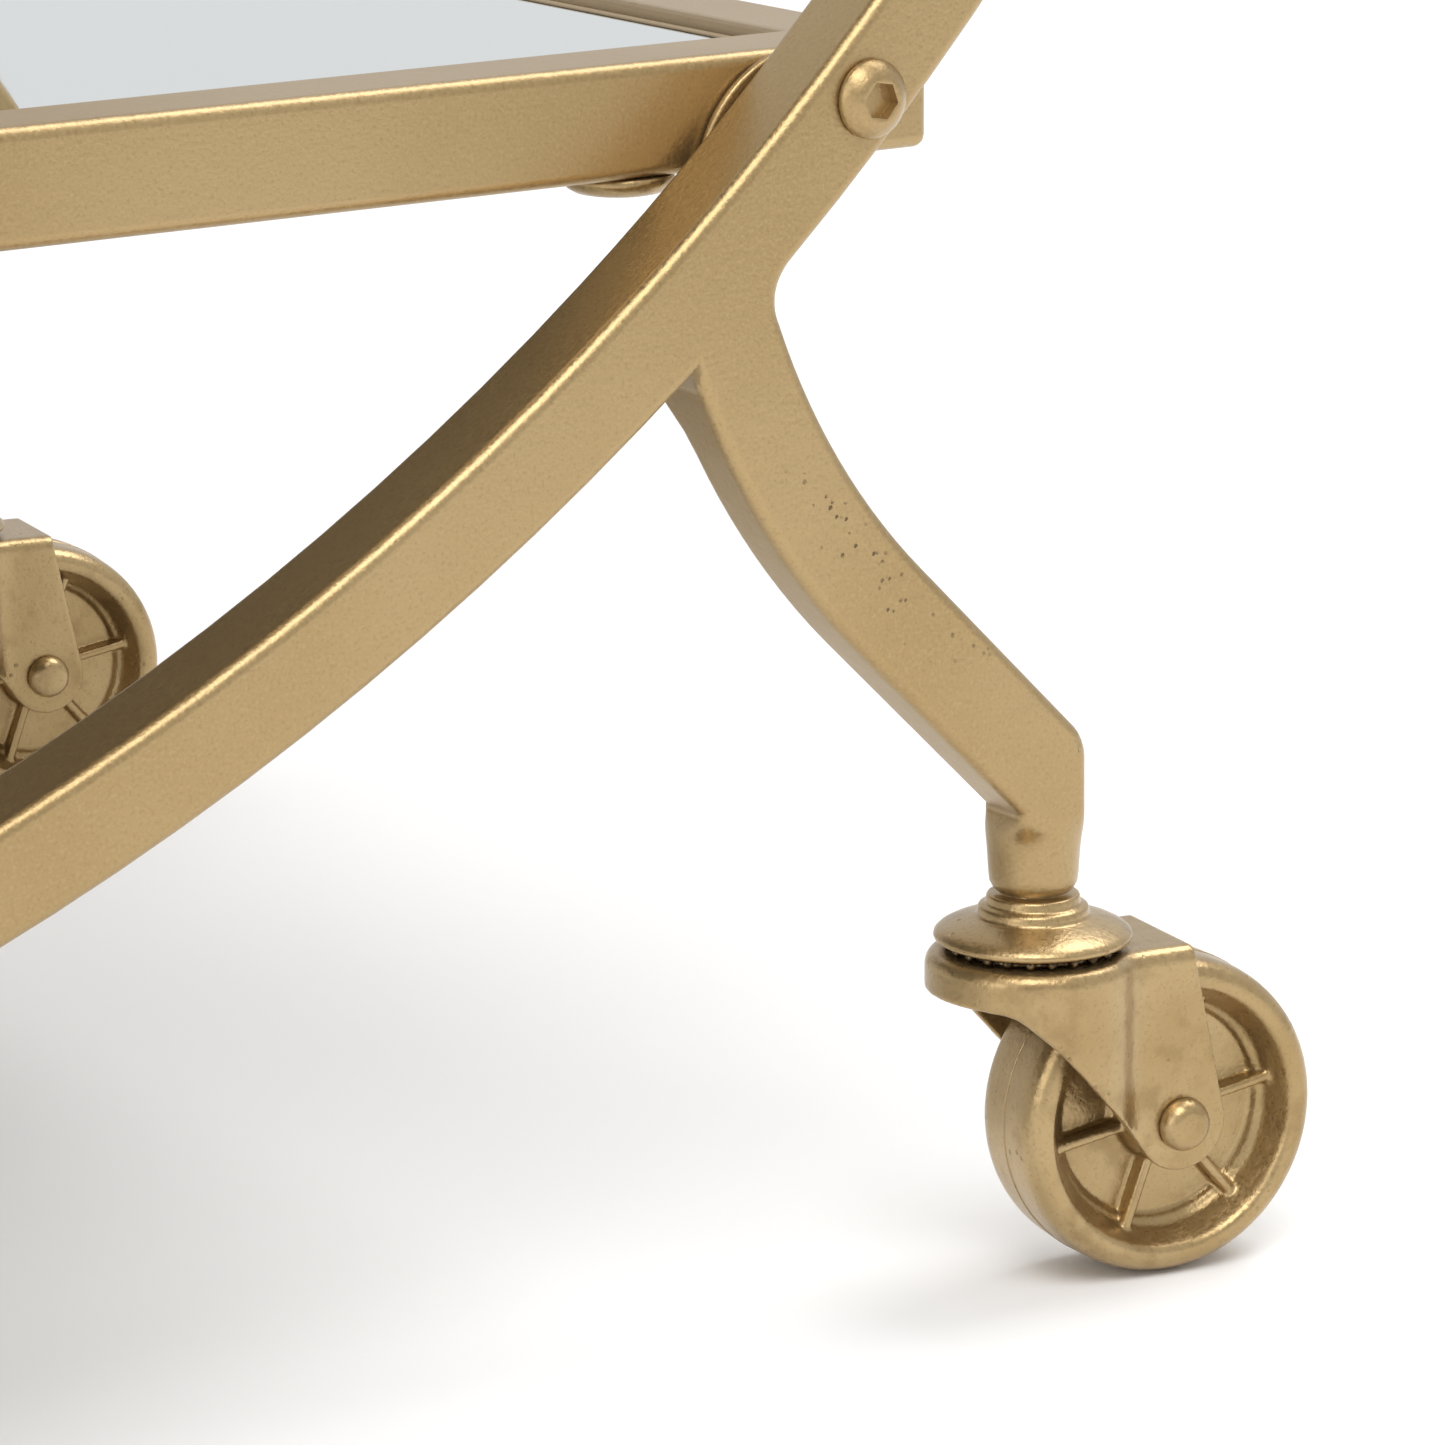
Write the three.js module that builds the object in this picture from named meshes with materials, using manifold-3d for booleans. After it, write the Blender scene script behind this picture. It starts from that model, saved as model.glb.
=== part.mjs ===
// Two-shelf bar cart: two round tube frames, S-shaped cast feet, swivel casters.
// Millimetres, +Z up, origin on the floor under the middle of the cart.
// X runs along the cart, the front is -Y and the right-hand end is +X.
import * as THREE from 'three';
import { mergeVertices } from 'three/addons/utils/BufferGeometryUtils.js';
import Module from 'manifold-3d';

const wasm = await Module();
wasm.setup();

// ---- driving dimensions ----
const TUBE = 16;                  // square tube of the ring frames
const RAIL = 17;                  // square tube of the shelf frames
const WALL = 1.2;                 // tube wall
const CORNER = 1.7;               // outer corner radius of the tube
const GAP = 0.3;                  // between neighbouring pieces

const RING_RADIUS = 423.1;        // centreline of a ring frame
const RING_HEIGHT = 486.5;        // ring centre above the floor
const FRAME_Y = 180.5;            // middle plane of the front and back ring
const RING_STEPS = 24;            // straight steps in half a ring

const STEM_X = 338;               // caster stems left and right of the middle
const CASTER_YAW = THREE.MathUtils.degToRad(-8.9);

const SADDLE = 1.5;               // oval washer between ring and shelf
const SHELF_X = 325.4;            // half length of a shelf frame
const SHELF_Y = FRAME_Y - TUBE / 2 - SADDLE - 2 * GAP;
const LOWER_RAIL_Z = 176.8;       // underside of the lower shelf frame
const UPPER_RAIL_Z = 2 * RING_HEIGHT - LOWER_RAIL_Z - RAIL;
const PANEL_TOP = 15.4;            // mirror panel above the rail's underside
const PANEL_THICK = 4;
const PANEL_BEVEL = 2.2;          // ground edge of the mirror, and its drop
const PANEL_DROP = 0.4;
const LEDGE = 10;                 // ledge that carries the panel
const LEDGE_THICK = 1;
const GROOVE = 1.4;               // between the tube and the upstand round the panel
const UPSTAND = 1.9;

const BOLT_X = 301.5;             // bolts through ring, washer and rail
const BOLT_RISE = 11.6;           // bolt axis above the rail's underside
const BOLT_R = 3;
const BOLT_LENGTH = 22.5;
const HEAD_R = 5.8;
const HEAD_H = 2.9;
const HEAD_RIM = 0.8;             // height of the straight edge of a bolt head
const HEX = 5;                    // across flats
const HEX_DEEP = 2;
const SADDLE_LONG = 14;           // half length and half width of the oval washer
const SADDLE_WIDE = 9.4;
const SADDLE_SHIFT = 9;           // the washer lies this far along the ring from its bolt

const BUTTON_X = 275.5;            // round buttons under the lower rails
const BUTTON_R = 8.3;
const BUTTON_H = 2.7;

const FOOT_DEPTH = 11;             // feet are flush with the outer face of their ring
const BOSS_R = 6.7;               // round end of a foot, over the stem
const BOSS_BOTTOM = 62.5;
const BOSS_HIGH = 19;
const STEM_BORE = 20;             // bore in the boss

const WHEEL_R = 25.4;             // 2 inch wheel
const WHEEL_HALF = 8.9;
const WEB_HALF = 2.6;             // half thickness of the web inside the rim
const RIB_HALF = 5.8;             // half height of the six ribs on the web
const RIB_REACH = 19;
const RIB_THICK = 1.8;
const RIB_TURN = -0.18;
const WHEEL_STEPS = 24;
const TRAIL = 20.3;               // axle behind the swivel axis
const AXLE_R = 3;
const LEG_THICK = 1.6;
const LEG_IN = WHEEL_HALF + 0.7;
const LEG_OUT = LEG_IN + LEG_THICK;
const CROWN_R = 16.6;
const CROWN_TOP = 53.4;
const SKIRT_BOTTOM = 46.2;
const SKIRT_END = -4;             // the skirt runs round the front of the crown to here
const DECK_END = 22.5;
const LEG_END_R = 7.6;
const RIVET_R = 4.2;
const RIVET_H = 3;
const STEM_R = 4;

// Turned outlines of the caster, [radius, height above the floor].
const STEM_OUTLINE = [[0, 48.6], [6, 48.6], [6, 51.3], [STEM_R, 51.3], [STEM_R, 56],
  [15.3, 54.9], [15.3, 56], [12.6, 57.9], [8.6, 58.9], [8.3, 60.3], [7.2, 60.5], [7.2, 62.2],
  [STEM_R, 62.2], [STEM_R, 81], [0, 81]];
const RACE_OUTLINE = [[STEM_R + GAP, 53.7], [12.8, 53.7], [12.4, 54.6], [STEM_R + GAP, 55.3],
  [STEM_R + GAP, 53.7]];
// Half outline of the wheel, [radius, distance from its middle plane]; the tread is added.
const WHEEL_OUTLINE = [[0, WHEEL_HALF], [6.6, WHEEL_HALF], [7, WEB_HALF], [18.4, WEB_HALF],
  [20.6, WHEEL_HALF], [22.9, WHEEL_HALF]];
const TREAD_EDGE = 6.4;
// Front edge of a fork leg, [behind the swivel axis, height above the floor].
const LEG_FRONT = [[-9.5, 51.4], [-7.9, 45.5], [-4.8, 42.5], [0.5, 37.4], [8.6, 29.4],
  [13.4, 22.5]];

// ---- paint and glass ----
const gold = () => new THREE.MeshStandardMaterial(
  { color: 0xb79d71, roughness: 0.42, metalness: 0.85 });
const darkSteel = () => new THREE.MeshStandardMaterial(
  { color: 0x57534c, roughness: 0.4, metalness: 0.9 });
const mirror = () => new THREE.MeshStandardMaterial(
  { color: 0xd2d8d9, roughness: 0.04, metalness: 1 });

// ---- solids ----
function solid(geometry) {
  const bare = geometry.clone();
  bare.deleteAttribute('normal');
  bare.deleteAttribute('uv');
  const merged = mergeVertices(bare, 1e-4);
  return new wasm.Manifold(new wasm.Mesh({
    numProp: 3,
    vertProperties: new Float32Array(merged.attributes.position.array),
    triVerts: new Uint32Array(merged.index.array),
  }));
}

function geometryOf(body) {
  const mesh = body.getMesh();
  const geometry = new THREE.BufferGeometry();
  geometry.setAttribute('position', new THREE.BufferAttribute(mesh.vertProperties, 3));
  geometry.setIndex(new THREE.BufferAttribute(mesh.triVerts, 1));
  geometry.computeVertexNormals();
  return geometry;
}

// A cylinder along Y, for cutting holes and joining bosses.
function roundBar(radius, length, x, y, z) {
  const bar = new THREE.CylinderGeometry(radius, radius, length, 12);
  return solid(bar.translate(x, y, z));
}

// The same along Z, standing on z.
function post(radius, length, z) {
  const bar = new THREE.CylinderGeometry(radius, radius, length, 16);
  return solid(bar.rotateX(Math.PI / 2).translate(0, 0, z + length / 2));
}

// Turned piece: [radius, height] pairs from the axis back to the axis, standing along Z.
function turned(profile, steps) {
  const points = profile.map(([r, h]) => new THREE.Vector2(r, h));
  return new THREE.LatheGeometry(points, steps).rotateX(Math.PI / 2);
}

// Square with rounded corners, centred on the origin.
function tubeSection(size, radius, hollow) {
  const h = size / 2;
  const shape = new THREE.Shape();
  shape.absarc(h - radius, h - radius, radius, 0, Math.PI / 2);
  shape.absarc(radius - h, h - radius, radius, Math.PI / 2, Math.PI);
  shape.absarc(radius - h, radius - h, radius, Math.PI, 1.5 * Math.PI);
  shape.absarc(h - radius, radius - h, radius, 1.5 * Math.PI, 2 * Math.PI);
  shape.closePath();
  const i = h - hollow;
  const bore = new THREE.Path();
  bore.moveTo(-i, -i).lineTo(-i, i).lineTo(i, i).lineTo(i, -i).closePath();
  shape.holes.push(bore);
  return shape;
}

const cart = new THREE.Group();

function place(parent, name, geometry, material) {
  const mesh = new THREE.Mesh(geometry, material);
  mesh.name = name;
  parent.add(mesh);
  return mesh;
}

const SIDES = [['right', 1], ['left', -1]];
const FACES = [['front', -1], ['back', 1]];
const LEVELS = [['lower', LOWER_RAIL_Z], ['upper', UPPER_RAIL_Z]];

// ---- ring frames: two bent tube halves each ----
class RingArc extends THREE.Curve {
  constructor(from, to, y) {
    super();
    Object.assign(this, { from, to, y });
  }

  getPoint(t, target = new THREE.Vector3()) {
    const a = this.from + (this.to - this.from) * t;
    return target.set(RING_RADIUS * Math.cos(a), this.y, RING_HEIGHT + RING_RADIUS * Math.sin(a));
  }
}

function ringHalf(level, y) {
  const start = level === 'upper' ? 0 : Math.PI;
  const cut = GAP / 2 / RING_RADIUS;
  const tube = new THREE.ExtrudeGeometry(tubeSection(TUBE, CORNER, WALL), {
    steps: RING_STEPS,
    bevelEnabled: false,
    curveSegments: 1,
    extrudePath: new RingArc(start + cut, start + Math.PI - cut, y),
  });
  let half = solid(tube);
  const z = (level === 'upper' ? UPPER_RAIL_Z + RAIL - BOLT_RISE : LOWER_RAIL_Z + BOLT_RISE);
  for (const [, sx] of SIDES) {
    half = half.subtract(roundBar(BOLT_R + GAP, 2 * TUBE, sx * BOLT_X, y, z));
  }
  return geometryOf(half);
}

for (const [face, sy] of FACES) {
  for (const [level] of LEVELS) {
    place(cart, `ring_${face}_${level}`, ringHalf(level, sy * FRAME_Y), gold());
  }
}

// ---- feet: a square casting that leaves the ring, bends outward and ends in a boss ----
// The outline is drawn from the swivel axis, with X outward along the cart.
const FOOT_START = new THREE.Vector2(-60, 156.5);
const FOOT_STEEP = THREE.MathUtils.degToRad(71);
const FOOT_SLOPE = THREE.MathUtils.degToRad(44.5);
const FOOT_BEND = 115;
const FOOT_STRAIGHT = 50;
const FOOT_STEPS = 6;
const FOOT_END_X = 4.5;
const FOOT_END_Z = 73;
const FILLET_END = new THREE.Vector2(-41, 174);
const FILLET_CORNER = new THREE.Vector2(-53.4, 162.2);
const FOOT_ROOT = [new THREE.Vector2(-43.9, 177), new THREE.Vector2(-72, 167)];

function footGeometry() {
  const half = TUBE / 2;
  const normal = (angle) => new THREE.Vector2(Math.sin(angle), Math.cos(angle));
  const centre = FOOT_START.clone().addScaledVector(normal(FOOT_STEEP), FOOT_BEND);
  const on = (angle, side) => centre.clone().addScaledVector(normal(angle), side - FOOT_BEND);
  const along = new THREE.Vector2(Math.cos(FOOT_SLOPE), -Math.sin(FOOT_SLOPE));
  const outer = [];
  const inner = [];
  for (let i = 0; i <= FOOT_STEPS; i += 1) {
    const angle = THREE.MathUtils.lerp(FOOT_STEEP, FOOT_SLOPE, i / FOOT_STEPS);
    outer.push(on(angle, half));
    inner.push(on(angle, -half));
  }
  const lastOuter = outer.at(-1).clone();
  const reach = (FOOT_END_X - lastOuter.x) / along.x;
  outer.push(lastOuter.addScaledVector(along, reach));
  inner.push(inner.at(-1).clone().addScaledVector(along, FOOT_STRAIGHT));
  const shape = new THREE.Shape();
  shape.moveTo(FILLET_END.x, FILLET_END.y);
  FOOT_ROOT.forEach((p) => shape.lineTo(p.x, p.y));
  inner.forEach((p) => shape.lineTo(p.x, p.y));
  shape.lineTo(FOOT_END_X, FOOT_END_Z);
  outer.reverse().forEach((p) => shape.lineTo(p.x, p.y));
  shape.quadraticCurveTo(FILLET_CORNER.x, FILLET_CORNER.y, FILLET_END.x, FILLET_END.y);
  const plate = new THREE.ExtrudeGeometry(shape,
    { depth: FOOT_DEPTH, bevelEnabled: false, curveSegments: 5 });
  plate.translate(0, 0, half - FOOT_DEPTH).rotateX(Math.PI / 2);
  const ring = new THREE.CylinderGeometry(
    RING_RADIUS + half + GAP, RING_RADIUS + half + GAP, 3 * TUBE, 240);
  ring.translate(-STEM_X, 0, RING_HEIGHT);
  return geometryOf(solid(plate)
    .subtract(solid(ring))
    .add(post(BOSS_R, BOSS_HIGH, BOSS_BOTTOM))
    .subtract(post(STEM_R + GAP, 2 * STEM_BORE, BOSS_BOTTOM - STEM_BORE)));
}

function mirroredX(geometry) {
  const copy = geometry.clone().scale(-1, 1, 1);
  const index = copy.index.array;
  for (let i = 0; i < index.length; i += 3) {
    [index[i], index[i + 1]] = [index[i + 1], index[i]];
  }
  copy.computeVertexNormals();
  return copy;
}

const foot = footGeometry();
const otherFoot = mirroredX(foot);
for (const [face, sy] of FACES) {
  for (const [side, sx] of SIDES) {
    const mesh = place(cart, `foot_${face}_${side}`, sx * sy < 0 ? foot : otherFoot, gold());
    mesh.position.set(sx * STEM_X, sy * FRAME_Y, 0);
    mesh.rotation.z = sy < 0 ? 0 : Math.PI;
  }
}

// ---- shelf frames: mitred square tube with a ledge and an upstand around the panel ----
// Section: x goes inward from the outer face, y up from the underside.
function railSection() {
  const shape = new THREE.Shape();
  const ledgeTop = PANEL_TOP - PANEL_THICK - GAP;
  const ledgeEnd = RAIL + LEDGE;
  const near = RAIL + GROOVE;
  shape.absarc(CORNER, CORNER, CORNER, Math.PI, 1.5 * Math.PI);
  shape.absarc(RAIL - CORNER, CORNER, CORNER, 1.5 * Math.PI, 2 * Math.PI);
  shape.lineTo(RAIL, ledgeTop - LEDGE_THICK).lineTo(ledgeEnd, ledgeTop - LEDGE_THICK);
  shape.lineTo(ledgeEnd, ledgeTop).lineTo(near + UPSTAND, ledgeTop);
  shape.lineTo(near + UPSTAND, PANEL_TOP).lineTo(near, PANEL_TOP);
  shape.lineTo(near, ledgeTop).lineTo(RAIL, ledgeTop);
  shape.absarc(RAIL - CORNER, RAIL - CORNER, CORNER, 0, Math.PI / 2);
  shape.absarc(CORNER, RAIL - CORNER, CORNER, Math.PI / 2, Math.PI);
  shape.closePath();
  const bore = new THREE.Path();
  bore.moveTo(WALL, WALL).lineTo(WALL, RAIL - WALL);
  bore.lineTo(RAIL - WALL, RAIL - WALL).lineTo(RAIL - WALL, WALL).closePath();
  shape.holes.push(bore);
  return shape;
}

// A rail lies along X with its outer face on Y = 0, facing -Y; its ends are cut at 45 degrees.
function mitredRail(halfLength) {
  const rail = new THREE.ExtrudeGeometry(railSection(),
    { depth: 2, bevelEnabled: false, curveSegments: 2 });
  const p = rail.attributes.position;
  for (let i = 0; i < p.count; i += 1) {
    const inward = p.getX(i);
    const end = p.getZ(i) > 1 ? 1 : -1;
    p.setXYZ(i, end * (halfLength - inward - GAP / 2), inward, p.getY(i));
  }
  return rail;
}

function longRail(level) {
  const rise = level === 'upper' ? RAIL - BOLT_RISE : BOLT_RISE;
  let rail = solid(mitredRail(SHELF_X));
  for (const [, sx] of SIDES) {
    rail = rail.subtract(roundBar(BOLT_R + GAP, RAIL, sx * BOLT_X, 0, rise));
  }
  return geometryOf(rail);
}

const shortRail = geometryOf(solid(mitredRail(SHELF_Y)));

// Mirror panel with a ground edge round its top, which is at z = 0.
function panelGeometry() {
  const reach = RAIL + GROOVE + UPSTAND + GAP;
  const corners = (inset, z) => SIDES.flatMap(([, sx]) => FACES.map(([, sy]) => [
    sx * (SHELF_X - reach - inset), sy * (SHELF_Y - reach - inset), z]));
  return geometryOf(wasm.Manifold.hull([
    ...corners(0, -PANEL_THICK), ...corners(0, -PANEL_DROP), ...corners(PANEL_BEVEL, 0)]));
}

const panel = panelGeometry();

for (const [level, z] of LEVELS) {
  for (const [face, sy] of FACES) {
    const mesh = place(cart, `${level}_rail_${face}`, longRail(level), gold());
    mesh.position.set(0, sy * SHELF_Y, z);
    mesh.rotation.z = sy < 0 ? 0 : Math.PI;
  }
  for (const [side, sx] of SIDES) {
    const mesh = place(cart, `${level}_rail_${side}`, shortRail, gold());
    mesh.position.set(sx * SHELF_X, 0, z);
    mesh.rotation.z = sx * Math.PI / 2;
  }
  place(cart, `${level}_mirror_panel`, panel, mirror()).position.z = z + PANEL_TOP;
}

// ---- round buttons under the lower rails ----
function buttonGeometry() {
  return turned([[0, -BUTTON_H], [BUTTON_R * 0.7, -BUTTON_H], [BUTTON_R, -BUTTON_H * 0.45],
    [BUTTON_R, 0], [0, 0]], 14);
}

for (const [face, sy] of FACES) {
  for (const [side, sx] of SIDES) {
    const mesh = place(cart, `rail_button_${face}_${side}`, buttonGeometry(), gold());
    mesh.position.set(sx * BUTTON_X, sy * (SHELF_Y - RAIL / 2), LOWER_RAIL_Z - GAP);
  }
}

// ---- bolts and oval saddle washers ----
// Bolt along Y: head on -Y, its seat at y = 0.
function boltGeometry() {
  const profile = [[0, -BOLT_LENGTH], [BOLT_R, -BOLT_LENGTH], [BOLT_R, 0], [HEAD_R, 0],
    [HEAD_R, HEAD_RIM], [HEAD_R * 0.6, HEAD_H], [0, HEAD_H]];
  const bolt = solid(turned(profile, 14).rotateX(Math.PI / 2));
  const hexR = HEX / Math.sqrt(3);
  const socket = new THREE.CylinderGeometry(hexR, hexR, 2 * HEX_DEEP, 6);
  socket.translate(0, -HEAD_H, 0);
  return geometryOf(bolt.subtract(solid(socket)));
}

// right is 1 or -1; down is 1 where the ring runs downward to the middle of the cart.
function saddleGeometry(right, down) {
  const oval = new THREE.Shape();
  const shift = SADDLE_SHIFT / Math.SQRT2;
  oval.absellipse(-right * shift, -down * shift, SADDLE_LONG, SADDLE_WIDE, 0, 2 * Math.PI, false,
    right * down * Math.PI / 4);
  const hole = new THREE.Path();
  hole.absarc(0, 0, BOLT_R + GAP, 0, 2 * Math.PI, true);
  oval.holes.push(hole);
  const plate = new THREE.ExtrudeGeometry(oval,
    { depth: SADDLE, bevelEnabled: false, curveSegments: 8 });
  return plate.translate(0, 0, -SADDLE / 2).rotateX(Math.PI / 2);
}

const bolt = boltGeometry();
for (const [level, z] of LEVELS) {
  const boltZ = level === 'upper' ? z + RAIL - BOLT_RISE : z + BOLT_RISE;
  const down = level === 'upper' ? -1 : 1;
  for (const [face, sy] of FACES) {
    for (const [side, sx] of SIDES) {
      const tag = `${level}_${face}_${side}`;
      const boltMesh = place(cart, `bolt_${tag}`, bolt, gold());
      boltMesh.position.set(sx * BOLT_X, sy * (FRAME_Y + TUBE / 2 + GAP), boltZ);
      boltMesh.rotation.z = sy < 0 ? 0 : Math.PI;
      const washer = place(cart, `saddle_washer_${tag}`, saddleGeometry(sx, down), gold());
      washer.position.set(sx * BOLT_X, sy * (SHELF_Y + GAP + SADDLE / 2), boltZ);
    }
  }
}

// ---- swivel casters ----
// Local frame: origin on the floor under the swivel axis, X towards the axle.
function legPlate(side) {
  const leg = new THREE.Shape();
  const [top, ...front] = LEG_FRONT;
  leg.moveTo(...top);
  front.forEach((p) => leg.lineTo(...p));
  leg.absarc(TRAIL, WHEEL_R, LEG_END_R, 1.13 * Math.PI, 2.03 * Math.PI);
  leg.lineTo(DECK_END, CROWN_TOP).lineTo(top[0], CROWN_TOP);
  leg.closePath();
  const plate = new THREE.ExtrudeGeometry(leg,
    { depth: LEG_THICK, bevelEnabled: false, curveSegments: 6 });
  plate.rotateX(Math.PI / 2).translate(0, side > 0 ? LEG_OUT : -LEG_IN, 0);
  return solid(plate);
}

function forkGeometry() {
  const deck = new THREE.Shape();
  const join = Math.acos(LEG_OUT / CROWN_R);
  deck.absarc(0, 0, CROWN_R, Math.PI / 2 - join, 1.5 * Math.PI + join);
  deck.lineTo(DECK_END, -LEG_OUT).lineTo(DECK_END, LEG_OUT);
  deck.closePath();
  const plate = new THREE.ExtrudeGeometry(deck,
    { depth: LEG_THICK, bevelEnabled: false, curveSegments: 10 });
  const inside = CROWN_R - LEG_THICK;
  const skirt = turned([[inside, SKIRT_BOTTOM], [CROWN_R, SKIRT_BOTTOM], [CROWN_R, CROWN_TOP - 1.2],
    [inside, CROWN_TOP], [inside, SKIRT_BOTTOM]], 20);
  const rear = new THREE.BoxGeometry(2 * CROWN_R, 3 * CROWN_R, CROWN_R);
  rear.translate(SKIRT_END + CROWN_R, 0, SKIRT_BOTTOM);
  return geometryOf(solid(plate.translate(0, 0, CROWN_TOP - LEG_THICK))
    .add(solid(skirt).subtract(solid(rear)))
    .add(legPlate(1))
    .add(legPlate(-1))
    .subtract(post(STEM_R + GAP, 4 * LEG_THICK, CROWN_TOP - 2 * LEG_THICK))
    .subtract(roundBar(AXLE_R + GAP, 4 * LEG_OUT, TRAIL, 0, WHEEL_R)));
}

// Wheel about its axle: rounded tread, sunk web on each side, hub and six ribs.
function wheelGeometry() {
  const rim = WHEEL_R / Math.cos(Math.PI / WHEEL_STEPS);
  const side = [...WHEEL_OUTLINE, [rim, TREAD_EDGE]];
  const profile = [...side, ...side.map(([r, h]) => [r, -h]).reverse()];
  const points = profile.reverse().map(([r, h]) => new THREE.Vector2(r, h));
  let wheel = solid(new THREE.LatheGeometry(points, WHEEL_STEPS));
  for (let i = 0; i < 3; i += 1) {
    const rib = new THREE.BoxGeometry(2 * RIB_REACH, 2 * RIB_HALF, RIB_THICK);
    wheel = wheel.add(solid(rib.rotateY(i * Math.PI / 3 + RIB_TURN)));
  }
  wheel = wheel.subtract(roundBar(AXLE_R + GAP, 3 * WHEEL_HALF, 0, 0, 0));
  return geometryOf(wheel).rotateY(Math.PI / WHEEL_STEPS);
}

function axleGeometry() {
  const out = LEG_OUT + GAP;
  const end = out + RIVET_H;
  const head = [[0, end], [2.6, end - 0.5], [RIVET_R, out + 0.6], [RIVET_R, out], [AXLE_R, out]];
  const profile = [...head, ...head.map(([r, h]) => [r, -h]).reverse()];
  return new THREE.LatheGeometry(profile.reverse().map(([r, h]) => new THREE.Vector2(r, h)), 12);
}

const stem = turned(STEM_OUTLINE, 16);
const race = turned(RACE_OUTLINE, 16);
const fork = forkGeometry();
const wheel = wheelGeometry();
const axle = axleGeometry();

for (const [face, sy] of FACES) {
  for (const [side, sx] of SIDES) {
    const caster = new THREE.Group();
    caster.position.set(sx * STEM_X, sy * FRAME_Y, 0);
    caster.rotation.z = sx > 0 ? CASTER_YAW : CASTER_YAW + Math.PI;
    const tag = `${face}_${side}`;
    place(caster, `caster_stem_${tag}`, stem, gold());
    place(caster, `ball_race_${tag}`, race, darkSteel());
    place(caster, `caster_fork_${tag}`, fork, gold());
    place(caster, `caster_wheel_${tag}`, wheel, gold()).position.set(TRAIL, 0, WHEEL_R);
    place(caster, `axle_rivet_${tag}`, axle, gold()).position.set(TRAIL, 0, WHEEL_R);
    cart.add(caster);
  }
}

export default cart;
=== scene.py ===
"""Looks of the bar cart: painted ring frames with cast feet, mirrored shelves, swivel casters.

Shapes are drawn in millimetres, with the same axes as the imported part, and turned to metres
when a piece is finished.
"""

import math

import bmesh
import bpy
from mathutils import Matrix, Vector
from mathutils.geometry import interpolate_bezier


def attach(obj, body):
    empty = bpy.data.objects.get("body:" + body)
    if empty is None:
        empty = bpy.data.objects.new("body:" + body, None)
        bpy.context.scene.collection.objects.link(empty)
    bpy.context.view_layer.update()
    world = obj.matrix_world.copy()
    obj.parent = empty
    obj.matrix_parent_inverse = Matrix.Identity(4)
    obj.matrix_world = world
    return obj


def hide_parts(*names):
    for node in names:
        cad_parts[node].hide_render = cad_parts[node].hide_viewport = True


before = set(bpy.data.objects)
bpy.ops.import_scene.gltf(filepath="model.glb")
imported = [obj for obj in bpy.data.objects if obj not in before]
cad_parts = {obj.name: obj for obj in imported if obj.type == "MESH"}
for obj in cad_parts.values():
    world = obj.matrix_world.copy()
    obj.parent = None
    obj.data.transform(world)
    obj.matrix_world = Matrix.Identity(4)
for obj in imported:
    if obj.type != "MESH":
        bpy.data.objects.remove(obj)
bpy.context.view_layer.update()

# ---- sizes of the cart, as in the part ----
TUBE = 16
RAIL = 17
EDGE = 2.0                 # rounding of the long edges of tube
RING_IN = 415.1
RING_OUT = 431.1
RING_Z = 486.5
FRAME_Y = 180.5
STEM_X = 338
FOOT_DEPTH = 11
BEND_CENTRE = Vector((STEM_X + 48.73, 0, 193.94))  # of the bend in a foot
BEND_RADIUS = 113.5        # to the middle of the foot
FOOT_BLEND = 14            # length over which a foot thins from tube to foot depth
CASTER_YAW = math.radians(-8.9)
SHELF_X = 325.4
SHELF_Y = 170.4
RAIL_Z = {"lower": 176.8, "upper": 779.2}
BOLT_X = 301.5
BOLT_Z = {"lower": 188.4, "upper": 784.6}
BUTTON_X = 275.5
TRAIL = 20.3
WHEEL_R = 25.4
CROWN_R = 16.6
CROWN_TOP = 53.4
LEG_OUT = 11.2
FORK_LOWEST = 16
LEG_END_R = 7.6
SHEET = 1.6
VOXEL = 0.38

FACES = (("front", -1), ("back", 1))
FACING = {"front": Matrix.Identity(4), "back": Matrix.Rotation(math.pi, 4, "Z")}
SIDES = (("right", 1), ("left", -1))
LEVELS = ("lower", "upper")


# ---------------------------------------------------------------- finishes


class Value:
    """A number that a finish works out. Arithmetic on it adds Math nodes."""

    def __init__(self, finish, socket):
        self.finish = finish
        self.socket = socket

    def math(self, operation, *terms):
        return self.finish.add("ShaderNodeMath", {"operation": operation}, dict(enumerate(terms)))

    def __add__(self, other):
        return self.math("ADD", self, other)

    def __sub__(self, other):
        return self.math("SUBTRACT", self, other)

    def __rsub__(self, other):
        return self.math("SUBTRACT", other, self)

    def __mul__(self, other):
        return self.math("MULTIPLY", self, other)

    def __gt__(self, other):
        return self.math("GREATER_THAN", self, other)

    def root(self):
        return self.math("SQRT", self)

    def size(self):
        return self.math("ABSOLUTE", self)

    __radd__ = __add__


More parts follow.
